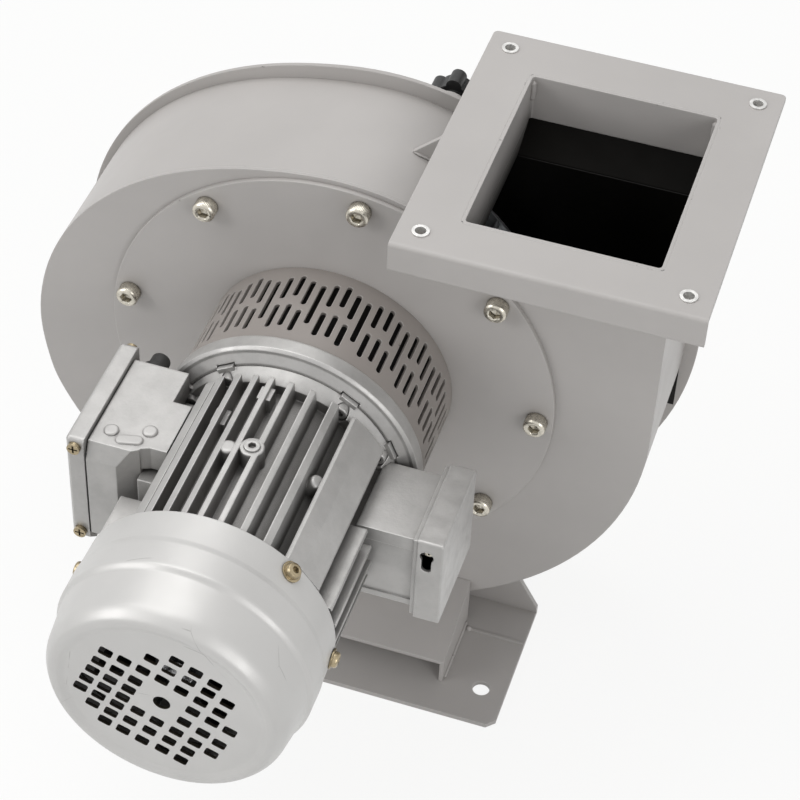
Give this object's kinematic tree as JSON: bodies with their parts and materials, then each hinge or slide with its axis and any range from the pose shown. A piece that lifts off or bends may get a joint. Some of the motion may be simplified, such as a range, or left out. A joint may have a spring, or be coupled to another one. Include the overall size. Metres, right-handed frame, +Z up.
{
  "type": "centrifugal blower",
  "caption": "Direct-driven centrifugal blower: scroll casing with flanged top outlet, swing damper at the inlet, finned motor on a slotted spacer ring, and a welded foot.",
  "frame": {"origin": "on the foot plate's underside, directly below the shaft axis, in the plane of the casing's motor-side face", "axes": "+Z up, +Y along the shaft from the motor towards the inlet side, +X towards the outlet duct's side"},
  "size_m": [0.3999, 0.4026, 0.3438],
  "materials": {
    "casing_paint": "satin warm grey powder coat",
    "silver_paint": "semi-gloss silver paint",
    "cast_aluminium": "die-cast, painted silver",
    "dark_steel": "dark unpainted inside of the duct",
    "zinc_steel": "zinc plated",
    "nickel_screw": "nickel plated",
    "yellow_zinc": "yellow zinc plated",
    "bearing_steel": "ground",
    "lamination_steel": "stacked sheet, varnished",
    "copper_wire": "enamelled copper wire",
    "galvanised_sheet": "galvanised",
    "black_plastic": "satin",
    "grey_plastic": "matte",
    "black_rubber": "matte"
  },
  "bodies": {
    "housing": {"front_plate": "casing_paint", "scroll_wrapper": "casing_paint", "back_plate": "casing_paint", "outlet_transition": "dark_steel", "outlet_collar": "casing_paint", "outlet_flange": "casing_paint", "rivet_nuts": "zinc_steel", "duct_gusset": "casing_paint", "inlet_ring": "zinc_steel", "damper_stud": "zinc_steel", "damper_washer": "zinc_steel", "mount_disc": "casing_paint", "disc_screws": "nickel_screw", "weld_nuts": "zinc_steel", "slotted_ring": "casing_paint", "adapter_plate": "casing_paint", "adapter_screws": "zinc_steel", "front_bearing_outer": "bearing_steel", "rear_bearing_outer": "bearing_steel", "drive_end_shield": "cast_aluminium", "shield_screws": "nickel_screw", "motor_frame": "cast_aluminium", "lifting_plug": "nickel_screw", "stator_core": "lamination_steel", "stator_windings": "copper_wire", "rear_end_shield": "cast_aluminium", "fan_cover": "silver_paint", "cover_screws": "yellow_zinc", "terminal_box": "cast_aluminium", "terminal_gasket": "black_rubber", "terminal_lid": "cast_aluminium", "terminal_lid_screws": "yellow_zinc", "terminal_block": "grey_plastic", "cable_gland": "black_rubber", "capacitor_box": "cast_aluminium", "capacitor_lid": "cast_aluminium", "capacitor_lid_screw": "nickel_screw", "capacitor": "grey_plastic", "foot_plate": "casing_paint", "rear_web": "casing_paint", "pedestal": "casing_paint"},
    "rotor": {"motor_shaft": "bearing_steel", "rotor_core": "lamination_steel", "front_bearing_inner": "bearing_steel", "front_bearing_balls": "bearing_steel", "rear_bearing_inner": "bearing_steel", "rear_bearing_balls": "bearing_steel", "impeller_disc": "galvanised_sheet", "impeller_ring": "galvanised_sheet", "impeller_blades": "galvanised_sheet", "impeller_hub": "galvanised_sheet", "hub_rivets": "zinc_steel", "hub_key": "bearing_steel", "impeller_washer": "zinc_steel", "impeller_bolt": "zinc_steel", "cooling_fan": "black_plastic"},
    "damper": {"damper_plate": "casing_paint"},
    "knob": {"star_knob": "black_plastic"}
  },
  "joints": [
    {"name": "rotor_spin", "type": "hinge", "parent": "housing", "child": "rotor", "pos_m": [0, 0, 0.193], "axis": [0, 1, 0], "continuous": true},
    {"name": "damper_swing", "type": "hinge", "parent": "housing", "child": "damper", "pos_m": [0.035, 0.092, 0.319], "axis": [0, 1, 0], "range_deg": [-25, 44]},
    {"name": "knob_turn", "type": "hinge", "parent": "housing", "child": "knob", "pos_m": [0.035, 0.105, 0.319], "axis": [0, 1, 0], "range_deg": [0, 360]}
  ]
}
